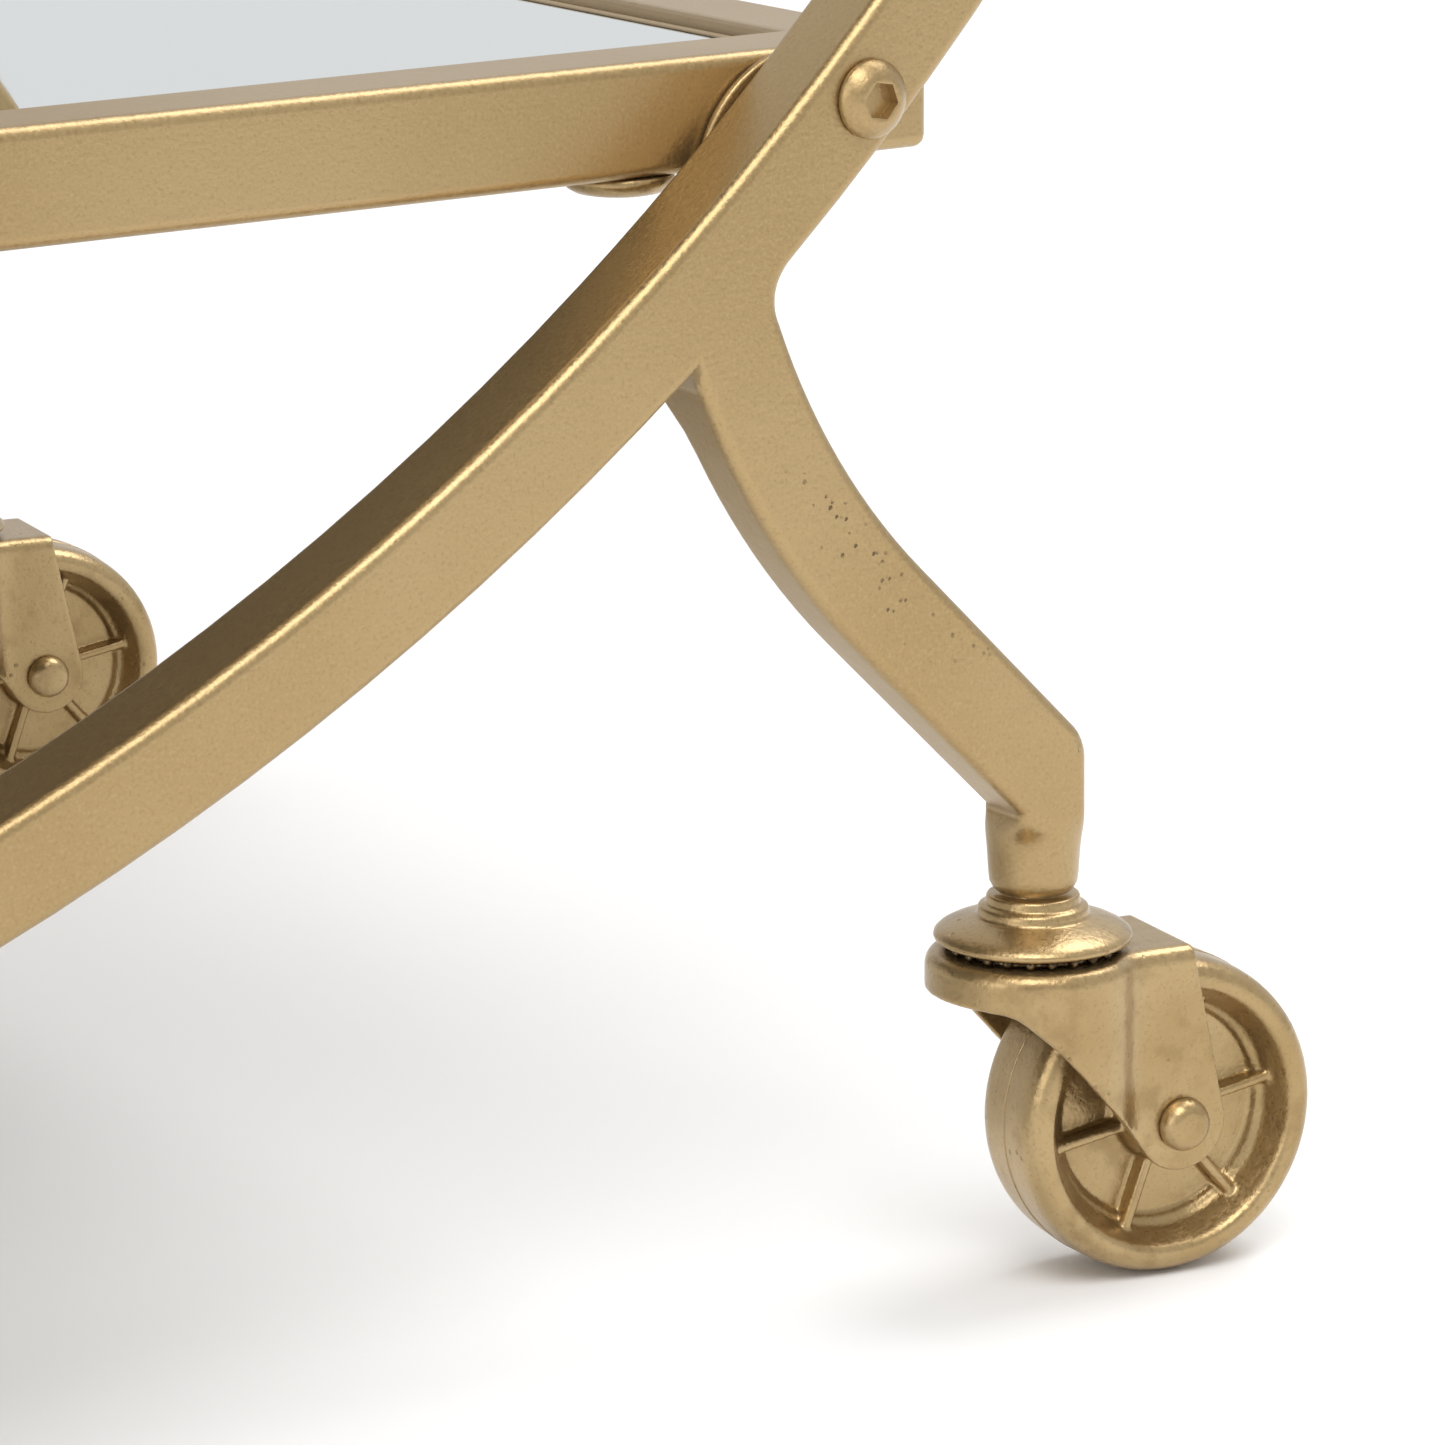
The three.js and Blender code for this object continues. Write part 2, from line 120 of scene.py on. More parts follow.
class Finish:
    """A material in the making."""

    def __init__(self, name):
        self.material = bpy.data.materials.new(name)
        self.material.use_nodes = True
        self.tree = self.material.node_tree
        self.tree.nodes.clear()
        self.place = self.add("ShaderNodeTexCoord", out="Object")

    def add(self, kind, settings=None, sockets=None, out=0):
        node = self.tree.nodes.new(kind)
        for name, value in (settings or {}).items():
            setattr(node, name, value)
        for name, value in (sockets or {}).items():
            if isinstance(value, Value):
                self.tree.links.new(value.socket, node.inputs[name])
            else:
                node.inputs[name].default_value = value
        return Value(self, node.outputs[out])

    def axis(self, name):
        return self.add("ShaderNodeSeparateXYZ", None, {"Vector": self.place}, name)

    def noise(self, grain, detail):
        """Noise whose lumps are about grain millimetres across, from 0 to 1."""
        return self.add("ShaderNodeTexNoise", None, {
            "Vector": self.place, "Scale": 1000 / grain, "Detail": detail})

    def cells(self, grain):
        return self.add("ShaderNodeTexVoronoi", None, {
            "Vector": self.place, "Scale": 1000 / grain, "Randomness": 1.0}, "Distance")

    def ease(self, value, low, high, to_low=0.0, to_high=1.0):
        return self.add("ShaderNodeMapRange", {"interpolation_type": "SMOOTHSTEP"}, {
            "Value": value, "From Min": low, "From Max": high,
            "To Min": to_low, "To Max": to_high})

    def tint(self, mask, one, other):
        """The colour one where mask is 0, other where it is 1."""
        return self.add("ShaderNodeMix", {"data_type": "RGBA"}, {0: mask, 6: one, 7: other}, 2)

    def relief(self, height, depth, below=None):
        """A bump of depth millimetres over height's range, on top of another bump."""
        sockets = {"Strength": 1.0, "Distance": depth / 1000, "Height": height}
        if below is not None:
            sockets["Normal"] = below
        return self.add("ShaderNodeBump", None, sockets)

    def made(self, **sockets):
        shader = self.add("ShaderNodeBsdfPrincipled", None, {
            name.replace("_", " "): value for name, value in sockets.items()})
        end = self.tree.nodes.new("ShaderNodeOutputMaterial")
        self.tree.links.new(shader.socket, end.inputs["Surface"])
        return self.material


def paint(red, green, blue):
    """A colour as a painter names it, 0 to 255, for a shader."""
    def linear(c):
        c /= 255
        return c / 12.92 if c <= 0.04045 else ((c + 0.055) / 1.055) ** 2.4
    return (linear(red), linear(green), linear(blue), 1.0)


GOLD = paint(166, 140, 95)
GOLD_LIGHT = paint(180, 155, 112)
GOLD_DEEP = paint(142, 116, 75)
# painted shade for the inside of pits
GOLD_PIT_SHADE = paint(84, 64, 36)


def sprayed(gold):
    """Flake, colour and relief of satin gold on smooth tube, with faint orange peel."""
    flake = gold.noise(0.6, 1)
    colour = gold.tint(gold.ease(gold.noise(60, 3), 0.3, 0.7, 0, 0.6), GOLD, GOLD_LIGHT)
    colour = gold.tint(gold.ease(flake, 0.5, 0.75, 0, 0.6), colour, GOLD_LIGHT)
    colour = gold.tint(gold.ease(flake, 0.45, 0.25, 0, 0.35), colour, GOLD_DEEP)
    bump = gold.relief(flake, 0.05, gold.relief(gold.noise(1.5, 1), 0.045))
    return flake, colour, bump


def gold_over_tube():
    """Satin gold sprayed on smooth tube."""
    gold = Finish("gold_over_tube")
    flake, colour, bump = sprayed(gold)
    return gold.made(
        Base_Color=colour, Metallic=0.85, Roughness=0.37 + (flake - 0.5) * 0.2,
        Normal=bump, Coat_Weight=0.35, Coat_Roughness=0.3)


def gold_over_casting():
    """The same paint on rough castings: soft lumps, pits and small bubbles."""
    gold = Finish("gold_over_casting")
    clouds = gold.noise(22, 3)
    flake = gold.noise(0.7, 2)
    lumps = gold.noise(3.2, 2)
    pits = gold.ease(gold.cells(2.3), 0.22, 0.12) * gold.ease(gold.noise(9, 2), 0.56, 0.66)
    colour = gold.tint(gold.ease(clouds, 0.3, 0.7), GOLD, GOLD_LIGHT)
    colour = gold.tint(gold.ease(gold.noise(6, 4), 0.5, 0.72, 0, 0.55), colour, GOLD_DEEP)
    colour = gold.tint(gold.ease(flake, 0.5, 0.3, 0, 0.3), colour, GOLD_DEEP)
    # the pits are darkened in colour as painted shade
    colour = gold.tint(pits * 0.6, colour, GOLD_DEEP)
    bump = gold.relief(lumps, 0.12)
    bump = gold.relief(flake, 0.07, bump)
    bump = gold.relief(1 - pits, 0.12, bump)
    return gold.made(
        Base_Color=colour, Metallic=0.85, Roughness=0.32 + (flake - 0.5) * 0.25 + pits * 0.2,
        Normal=bump, Coat_Weight=0.3, Coat_Roughness=0.28)


def gold_over_frame():
    """Ring and feet are one painted piece: lumpy on the feet, with pits along their bend, darkened
    in colour as painted shade.
    """
    gold = Finish("gold_over_frame")
    x, z = gold.axis("X"), gold.axis("Z") - RING_Z / 1000
    cast = gold.ease((x * x + z * z).root(), 0.430, 0.445)
    flake, colour, bump = sprayed(gold)
    lumps = gold.noise(4.5, 2)
    in_bend = x.size() - BEND_CENTRE.x / 1000
    below_bend = gold.axis("Z") - BEND_CENTRE.z / 1000
    off_middle = (in_bend * in_bend + below_bend * below_bend).root() - BEND_RADIUS / 1000
    strip = (gold.ease(off_middle.size(), 0.0048, 0.0022)
             * gold.ease(below_bend, -0.094, -0.086) * gold.ease(below_bend, -0.056, -0.064))
    pits = gold.ease(gold.cells(1.7), 0.26, 0.14) * gold.ease(gold.noise(5, 2), 0.44, 0.52) * strip
    # the pits are darkened in colour as painted shade
    colour = gold.tint(pits * 0.8, colour, GOLD_PIT_SHADE)
    bump = gold.relief(lumps * cast, 0.16, bump)
    bump = gold.relief(1 - pits, 0.2, bump)
    return gold.made(
        Base_Color=colour, Metallic=0.85, Roughness=0.36 + (flake - 0.5) * 0.22 + pits * 0.2,
        Normal=bump, Coat_Weight=0.35, Coat_Roughness=0.3)


def dark_bearing():
    """Steel balls and cage, coloured dark all over as painted shade for the gap under the cap, in
    darker and lighter patches.
    """
    steel = Finish("dark_bearing_steel")
    shade_and_grease = steel.noise(1.2, 3)
    # both colours are dark: painted shade of the gap under the cap, with lighter patches at random
    colour = steel.tint(steel.ease(shade_and_grease, 0.45, 0.7), paint(70, 58, 42), paint(150, 130, 96))
    return steel.made(
        Base_Color=colour, Metallic=0.9, Roughness=0.25 + shade_and_grease * 0.3,
        Normal=steel.relief(shade_and_grease, 0.03))


def shelf_mirror():
    """Silvered glass from above, painted backing on the underside, greenish ground edge."""
    mirror = Finish("shelf_mirror")
    up = mirror.add("ShaderNodeNewGeometry", None, None, "Normal")
    facing = mirror.add("ShaderNodeSeparateXYZ", None, {"Vector": up}, "Z")
    silvered = facing > 0.999
    ground = (facing > 0.3) * (1 - silvered)
    haze = mirror.noise(55, 4)
    dust = mirror.noise(1.1, 2)
    back = mirror.tint(mirror.ease(dust, 0.4, 0.65), paint(74, 66, 56), paint(92, 84, 73))
    colour = mirror.tint(silvered, back, paint(236, 242, 243))
    colour = mirror.tint(ground, colour, paint(222, 226, 222))
    grain = mirror.ease(haze, 0.45, 0.8, 0.015, 0.05)
    rough = silvered * grain + ground * 0.22 + (1 - silvered) * (1 - ground) * 0.6
    return mirror.made(
        Base_Color=colour, Metallic=silvered * 0.98 + ground * 0.6, Roughness=rough,
        Normal=mirror.relief(dust * (1 - silvered), 0.03))


TUBE_GOLD = gold_over_tube()
CAST_GOLD = gold_over_casting()
FRAME_GOLD = gold_over_frame()
BEARING = dark_bearing()
MIRROR = shelf_mirror()


# ---------------------------------------------------------------- shaping


def pull(bm, edges):
    """Extrudes edges where they are and gives the new edges and vertices."""
    made = bmesh.ops.extrude_edge_only(bm, edges=edges)["geom"]
    verts = {item for item in made if isinstance(item, bmesh.types.BMVert)}
    new = [item for item in made if isinstance(item, bmesh.types.BMEdge)
           and item.verts[0] in verts and item.verts[1] in verts]
    return new, list(verts)


def thicken(bm, faces, move):
    """Makes a solid from faces and their copy, moved along move."""
    made = bmesh.ops.extrude_face_region(bm, geom=faces, use_keep_orig=True)["geom"]
    bmesh.ops.translate(bm, vec=move,
                        verts=[item for item in made if isinstance(item, bmesh.types.BMVert)])


def swing(bm, edges, centre, angle, steps):
    """Sweeps edges in the plane of the frame, round centre, anticlockwise seen from the front."""
    step = Matrix.Rotation(angle / steps, 3, (0, -1, 0))
    for _ in range(steps):
        edges, verts = pull(bm, edges)
        bmesh.ops.rotate(bm, verts=verts, cent=centre, matrix=step)
    return edges, verts


def line(bm, points, closed=False):
    """A chain of edges through points."""
    verts = [bm.verts.new(point) for point in points]
    pairs = list(zip(verts, verts[1:])) + ([(verts[-1], verts[0])] if closed else [])
    return [bm.edges.new(pair) for pair in pairs]


def sharp_edges(bm, angle):
    return [e for e in bm.edges
            if len(e.link_faces) == 2 and e.calc_face_angle(0) > math.radians(angle)]


def soften(bm, edges, radius, segments=3, clamp=True):
    bmesh.ops.bevel(bm, geom=edges, offset=radius, offset_type="OFFSET", affect="EDGES",
                    segments=segments, profile=0.5, material=-1, clamp_overlap=clamp)


def turned(outline, steps=64, axis="Z"):
    """A solid turned from [radius, height] pairs that start and end on its axis."""
    bm = bmesh.new()
    edges = line(bm, [(r, 0, h) for r, h in outline])
    bmesh.ops.spin(bm, geom=bm.verts[:] + edges, cent=(0, 0, 0), axis=(0, 0, 1),
                   dvec=(0, 0, 0), angle=2 * math.pi, steps=steps, use_merge=True,
                   use_duplicate=False)
    bmesh.ops.remove_doubles(bm, verts=bm.verts, dist=1e-4)
    if axis == "Y":
        bmesh.ops.rotate(bm, verts=bm.verts, cent=(0, 0, 0),
                         matrix=Matrix.Rotation(math.pi / 2, 3, "X"))
    bmesh.ops.recalc_face_normals(bm, faces=bm.faces)
    return bm


def block_of(bm, name="block"):
    """A bmesh as an object, to work on with modifiers."""
    mesh = bpy.data.meshes.new(name)
    bm.to_mesh(mesh)
    bm.free()
    block = bpy.data.objects.new(name, mesh)
    bpy.context.scene.collection.objects.link(block)
    return block


def worked(bm, *tools, using=()):
    """The shape after a run of modifiers."""
    block = block_of(bm)
    for kind, settings in tools:
        tool = block.modifiers.new(kind.lower(), kind)
        for name, value in settings.items():
            setattr(tool, name, value)
    depsgraph = bpy.context.evaluated_depsgraph_get()
    mesh = bpy.data.meshes.new_from_object(block.evaluated_get(depsgraph))
    for spare in (block, *using):
        bpy.data.objects.remove(spare)
    shaped = bmesh.new()
    shaped.from_mesh(mesh)
    bpy.data.meshes.remove(mesh)
    return shaped


def pattern(bm):
    """Keeps a shape, in millimetres, for the pieces made from it."""
    mesh = bpy.data.meshes.new("pattern")
    bm.to_mesh(mesh)
    bm.free()
    return mesh


def finished(shape, name, body, material, slot, *nodes, place=None, even=True):
    """Turns a shape in millimetres into a piece in metres, on its body and for its nodes."""
    bm = shape
    if isinstance(shape, bpy.types.Mesh):
        bm = bmesh.new()
        bm.from_mesh(shape)
    if place is not None:
        bmesh.ops.transform(bm, matrix=place, verts=bm.verts)
    bmesh.ops.transform(bm, matrix=Matrix.Scale(0.001, 4), verts=bm.verts)
    piece = block_of(bm, name)
    piece.data.shade_smooth()
    piece.data.materials.append(material)
    if even:
        piece.modifiers.new("even_shading", "WEIGHTED_NORMAL").keep_sharp = True
    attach(piece, body)
    if nodes:
        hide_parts(*nodes)
    return piece


# ---------------------------------------------------------------- ring frames and feet

JOINT_LOW = math.radians(38.97)       # where the foot leaves the ring, from its lowest point
JOINT_HIGH = math.radians(42.0)
BEND = math.radians(69.66 - 44.5)
SLOPE = math.radians(44.5)
NECK_Z = 76.0
ELBOW_Z = 87.3


def half_outline(bm):
    """Right half of a ring and its foot as a flat sheet on Y = 0."""
    centre = (0, 0, RING_Z)
    rim = line(bm, [(0, 0, RING_Z - RING_IN), (0, 0, RING_Z - RING_OUT)])
    rim, low = swing(bm, rim, centre, JOINT_LOW, 26)
    before = set(bm.faces)
    rim, high = swing(bm, rim, centre, JOINT_HIGH - JOINT_LOW, 3)
    joint = [f for f in bm.faces if f not in before]
    swing(bm, rim, centre, math.pi - JOINT_HIGH, 91)

    def outer(verts):
        return max(verts, key=lambda v: (v.co - Vector(centre)).length)

    start, end = outer(low), outer(high)
    between = sorted({v for f in joint for v in f.verts
                      if abs((v.co - Vector(centre)).length - RING_OUT) < 0.01}
                     - {start, end}, key=lambda v: v.co.x)
    throat = Vector((STEM_X - 51.6, 0, 156.75))
    curve = interpolate_bezier(
        end.co, end.co + Vector((-3, 0, -2.7)), Vector((STEM_X - 53.2, 0, 160.2)), throat, 14)
    fillet = [bm.verts.new(point) for point in curve[1:]]
    root = bm.faces.new([start, *between, end, *fillet])
    rung = [bm.edges.get((start, fillet[-1]))]
    bmesh.ops.dissolve_faces(bm, faces=[*joint, root], use_verts=False)

    rung, _ = swing(bm, rung, BEND_CENTRE, BEND, 14)
    neck = ((-7.9, 77.1), (4.5, ELBOW_Z)), ((-7.9, NECK_Z), (4.6, NECK_Z))
    for inside, outside in neck:
        rung, verts = pull(bm, rung)
        inner, far = sorted(verts, key=lambda v: v.co.x)
        inner.co = (STEM_X + inside[0], 0, inside[1])
        far.co = (STEM_X + outside[0], 0, outside[1])


def draw_boss(bm, loop, side):
    """Draws the square neck of a foot down into the tapered round boss over the stem."""
    levels = ((75.3, 7.6, 0.06), (74.4, 7.55, 0.18), (73.4, 7.5, 0.36), (72.3, 7.4, 0.56),
              (71.2, 7.3, 0.76), (70.0, 7.2, 0.91), (68.6, 7.1, 1.0), (67.0, 7.0, 1.0),
              (65.4, 6.9, 1.0), (64.2, 6.75, 1.0), (63.3, 6.3, 1.0), (62.7, 5.7, 1.0),
              (62.5, 5.0, 1.0), (62.5, 4.3, 1.0), (80.0, 4.3, 1.0))
    for z, radius, share in levels:
        loop, verts = pull(bm, loop)
        middle = sum((v.co for v in verts), Vector()) / len(verts)
        for v in verts:
            angle = math.atan2(v.co.y - middle.y, v.co.x - middle.x)
            x, y = radius * math.cos(angle), radius * math.sin(angle)
            x += side * STEM_X
            v.co = (v.co.x + (x - v.co.x) * share, v.co.y + (y - v.co.y) * share, z)
    bmesh.ops.edgeloop_fill(bm, edges=loop)


def ring_frame():
    bm = bmesh.new()
    half_outline(bm)
    bmesh.ops.mirror(bm, geom=bm.verts[:] + bm.edges[:] + bm.faces[:], matrix=Matrix.Identity(4),
                     merge_dist=0.01, axis="X")
    bmesh.ops.translate(bm, verts=bm.verts, vec=(0, -TUBE / 2, 0))
    thicken(bm, bm.faces[:], (0, TUBE, 0))
    centre = Vector((0, TUBE / 2, RING_Z))
    for v in bm.verts:
        past = (v.co - centre).length - RING_OUT
        if v.co.y > 0 and past > 0.05:
            share = min(past / FOOT_BLEND, 1)
            v.co.y -= (TUBE - FOOT_DEPTH) * share * share * (3 - 2 * share)
    bmesh.ops.recalc_face_normals(bm, faces=bm.faces)
    elbows = [e for e in bm.edges if all(abs(v.co.z - ELBOW_Z) < 0.1 for v in e.verts)
              and abs(e.verts[0].co.y - e.verts[1].co.y) > 1]
    soften(bm, elbows, 2.7, 4)
    ends = [f for f in bm.faces if all(abs(v.co.z - NECK_Z) < 0.01 for v in f.verts)]
    rims = list({e for f in ends for e in f.edges})
    bmesh.ops.bisect_edges(bm, edges=rims, cuts=3, edge_percents={})
    bmesh.ops.delete(bm, geom=[f for f in bm.faces if all(
        abs(v.co.z - NECK_Z) < 0.01 for v in f.verts)], context="FACES_ONLY")
    outline = [e for e in bm.edges if len(e.link_faces) == 2
               and sorted(abs(f.normal.y) > 0.5 for f in e.link_faces) == [False, True]]
    soften(bm, outline, EDGE, 4, False)
    bmesh.ops.bisect_edges(bm, cuts=2, edge_percents={},
                           edges=[e for e in bm.edges if e.is_boundary and e.calc_length() > 1.2])
    for _, side in SIDES:
        loop = [e for e in bm.edges if e.is_boundary and e.verts[0].co.x * side > 0
                and e.verts[0].co.z < 80]
        draw_boss(bm, loop, side)
    bmesh.ops.recalc_face_normals(bm, faces=bm.faces)
    return pattern(bm)


RING_FRAME = ring_frame()
for face, sy in FACES:
    finished(RING_FRAME, f"{face}_ring_frame", "frame", FRAME_GOLD, "tube_paint",
             f"ring_{face}_lower", f"ring_{face}_upper",
             f"foot_{face}_right", f"foot_{face}_left",
             place=Matrix.Translation((0, sy * FRAME_Y, 0)) @ FACING[face])


# ---------------------------------------------------------------- shelves

# Section of a shelf frame: distance inward from its outer face, height above its underside.
RAIL_SECTION = ((0, 0), (0, 17), (17, 17), (17, 14.3), (17.8, 14.2), (17.8, 11.1), (18.4, 11.1),
                (18.4, 15.4), (20.3, 15.4), (20.3, 11.1), (27, 11.1), (27, 10.1), (17, 10.1),
                (17, 0))


def shelf_frame():
    """Mitred square tube with the ledge and upstand for the mirror, swept round the shelf."""
    bm = bmesh.new()
    first = line(bm, [(inward - SHELF_X, inward - SHELF_Y, z) for inward, z in RAIL_SECTION], True)
    loop = first
    for flip in ((-1, 1, 1), (1, -1, 1), (-1, 1, 1)):
        loop, verts = pull(bm, loop)
        bmesh.ops.scale(bm, vec=flip, verts=verts)
    bmesh.ops.bridge_loops(bm, edges=[*loop, *first])
    bmesh.ops.recalc_face_normals(bm, faces=bm.faces)

    def on_tube(v):
        inward = min(SHELF_X - abs(v.co.x), SHELF_Y - abs(v.co.y))
        return min(abs(v.co.z), abs(v.co.z - RAIL)) < 0.01 and min(
            abs(inward), abs(inward - RAIL)) < 0.01

    long_edges = [e for e in sharp_edges(bm, 60) if all(on_tube(v) for v in e.verts)]
    soften(bm, long_edges, EDGE, 4)
    lips = [e for e in sharp_edges(bm, 60) if all(
        14 < v.co.z < 15.9 and min(SHELF_X - abs(v.co.x), SHELF_Y - abs(v.co.y)) > RAIL + 0.5
        for v in e.verts)]
    soften(bm, lips, 0.28, 2)
    return pattern(bm)


SHELF_FRAME = shelf_frame()
for level in LEVELS:
    finished(SHELF_FRAME, f"{level}_shelf_frame", "frame", TUBE_GOLD, "tube_paint",
             *(f"{level}_rail_{side}" for side in ("front", "back", "right", "left")),
             place=Matrix.Translation((0, 0, RAIL_Z[level])))
    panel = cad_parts[f"{level}_mirror_panel"]
    panel.data.materials.clear()
    panel.data.materials.append(MIRROR)

BUTTON = pattern(turned(((0, -3), (5.2, -3), (6.6, -2.7), (7.6, -2.1), (8.15, -1.4), (8.3, -0.8),
                         (8.15, -0.2), (7.7, 0), (0, 0)), 48))
SADDLE = pattern(turned(((0, -0.75), (13.2, -0.75), (13.7, -0.6), (13.95, -0.3), (14, 0),
                         (13.95, 0.3), (13.7, 0.6), (13.2, 0.75), (0, 0.75)), 72, "Y"))
SADDLE_FLAT = Matrix.Diagonal((1, 1, 9.4 / 14, 1))  # half width to half length
SADDLE_SHIFT = 9                      # along the ring from its bolt


def button_bolt():
    """Button head bolt along Y, its seat at Y = 0, with a hexagon socket."""
    bolt = turned(((0, -22.5), (3, -22.5), (3, 0), (5.6, 0), (5.8, 0.2), (5.8, 0.6),
                   (5.65, 0.95), (5.25, 1.45), (4.6, 2.05), (4.0, 2.5), (3.5, 2.75), (3.2, 2.85),
                   (0, 2.85)), 64, "Y")
    key = bmesh.new()
    bmesh.ops.create_cone(key, cap_ends=True, segments=6, radius1=5 / math.sqrt(3),
                          radius2=5 / math.sqrt(3), depth=4.0,
                          matrix=Matrix.Translation((0, -2.85, 0))
                          @ Matrix.Rotation(math.pi / 2, 4, "X")
                          @ Matrix.Rotation(0.35, 4, "Z"))
    key = block_of(key)
    return pattern(worked(
        bolt, ("BOOLEAN", {"operation": "DIFFERENCE", "solver": "EXACT", "object": key}),
        ("BEVEL", {"width": 0.16, "segments": 2, "limit_method": "ANGLE",
                   "angle_limit": math.radians(38)}), using=(key,)))


BOLT = button_bolt()
for face, sy in FACES:
    for side, sx in SIDES:
        finished(BUTTON, f"{face}_{side}_rail_button", "frame", CAST_GOLD, "tube_paint",
                 f"rail_button_{face}_{side}",
                 place=Matrix.Translation((sx * BUTTON_X, sy * (SHELF_Y - RAIL / 2),
                                           RAIL_Z["lower"])))
        for level in LEVELS:
            tag = f"{level}_{face}_{side}"
            seat = (sx * BOLT_X, sy * (FRAME_Y + 8.15), BOLT_Z[level])
            finished(BOLT, f"bolt_in_{tag}", "frame", TUBE_GOLD, "tube_paint", f"bolt_{tag}",
                     place=Matrix.Translation(seat) @ FACING[face])
            lean = math.pi / 4 * sx * (1 if level == "upper" else -1)
            oval = Matrix.Rotation(lean, 4, "Y") @ Matrix.Translation((
                -sx * SADDLE_SHIFT, 0, 0)) @ SADDLE_FLAT
            finished(SADDLE, f"saddle_{tag}", "frame", TUBE_GOLD, "tube_paint",
                     f"saddle_washer_{tag}",
                     place=Matrix.Translation((sx * BOLT_X, sy * (SHELF_Y + 1.05), BOLT_Z[level]))
                     @ oval)


# ---------------------------------------------------------------- casters

STEM = pattern(turned((
    (0, 48.6), (5.7, 48.6), (6, 48.9), (6, 51.3), (4, 51.3), (4, 55.7), (12.2, 55.5),
    (13.4, 55.0), (14.5, 54.85), (15.1, 55.1), (15.3, 55.55), (15.15, 56.05), (14.5, 56.65),
    (13.4, 57.25), (12.0, 57.8), (10.4, 58.3), (9.2, 58.6), (8.7, 58.85), (8.6, 59.3),
    (8.55, 59.9), (8.3, 60.3), (7.8, 60.5), (7.4, 60.65), (7.25, 61.0), (7.2, 61.7),
    (7.0, 62.05), (6.6, 62.2), (4, 62.2), (4, 80), (0, 80)), 96))

RIVET_HEAD = ((0, 14.2), (1.2, 14.19), (2.1, 14.13), (2.8, 14.0), (3.4, 13.5),
              (3.9, 12.85), (4.15, 12.2), (4.2, 11.7), (4.05, 11.35), (3, 11.3))
RIVET = pattern(turned((*RIVET_HEAD, *((r, -h) for r, h in reversed(RIVET_HEAD))), 48, "Y"))


def ball_race():
    """Cage under the cap with loose balls showing in the gap."""
    bm = turned(((0, 53.6), (12.6, 53.6), (12.6, 54.3), (0, 54.8)), 48)
    for i in range(24):
        angle = i * math.tau / 24
        bmesh.ops.create_uvsphere(bm, u_segments=12, v_segments=8, radius=0.8, matrix=Matrix.
                                  Translation((13.1 * math.cos(angle), 13.1 * math.sin(angle),
                                               54.25)))
    return pattern(bm)


# Lower edge of the fork seen from the side: behind the swivel axis, height above the floor.
FORK_EDGE = ((-20, 47.5), (-12.6, 47.1), (-11.0, 46.9), (-9.7, 46.4), (-8.3, 45.4), (-6.9, 44.1),
             (-3.2, 40.6), (0.4, 36.6), (4.1, 32.4), (8.0, 28.3), (11.8, 24.3), (13.5, 21.8))


def fork():
    """Pressed fork: crown, skirt and legs are one sheet with a rounded top edge."""
    bm = bmesh.new()
    reach = math.radians(115)
    arc = [(-CROWN_R * math.cos(reach * i / 30), -CROWN_R * math.sin(reach * i / 30), CROWN_TOP)
           for i in range(31)]
    end = Vector(arc[-1])
    sway = interpolate_bezier(end, end + Vector((3.2, 1.5, 0)),
                              Vector((10.2, -LEG_OUT, CROWN_TOP)),
                              Vector((14.5, -LEG_OUT, CROWN_TOP)), 10)
    points = arc + sway[1:] + [(30, -LEG_OUT, CROWN_TOP)]
    line(bm, points)
    bmesh.ops.mirror(bm, geom=bm.verts[:] + bm.edges[:], matrix=Matrix.Identity(4),
                     merge_dist=0.01, axis="Y")
    rear = [v for v in bm.verts if v.co.x > 29]
    bm.edges.new(rear)
    top = bmesh.ops.contextual_create(bm, geom=bm.edges[:])["faces"]
    thicken(bm, top, (0, 0, FORK_LOWEST - CROWN_TOP))
    bmesh.ops.recalc_face_normals(bm, faces=bm.faces)
    spare = [f for f in bm.faces if f.normal.z < -0.9 or f.normal.x > 0.9]
    bmesh.ops.delete(bm, geom=spare, context="FACES")
    soften(bm, [e for e in bm.edges if len(e.link_faces) == 2
                and all(abs(v.co.z - CROWN_TOP) < 0.01 for v in e.verts)], 2.4, 5)

    side = bmesh.new()
    foot = [(TRAIL + LEG_END_R * math.cos(a), WHEEL_R + LEG_END_R * math.sin(a)) for a in
            (math.radians(208 + 157 * i / 16) for i in range(17))]
    line(side, [(x, -30, z) for x, z in (*FORK_EDGE, *foot, (22.5, 51.5), (22.5, 60), (-20, 60))],
         True)
    face = bmesh.ops.contextual_create(side, geom=side.edges[:])["faces"]
    thicken(side, face, (0, 60, 0))
    bmesh.ops.recalc_face_normals(side, faces=side.faces)
    side = block_of(side)
    return pattern(worked(
        bm, ("SOLIDIFY", {"thickness": SHEET, "offset": -1, "use_even_offset": True}),
        ("BOOLEAN", {"operation": "INTERSECT", "solver": "EXACT", "object": side}),
        ("REMESH", {"mode": "VOXEL", "voxel_size": VOXEL}),
        ("SMOOTH", {"factor": 0.5, "iterations": 4}), using=(side,)))


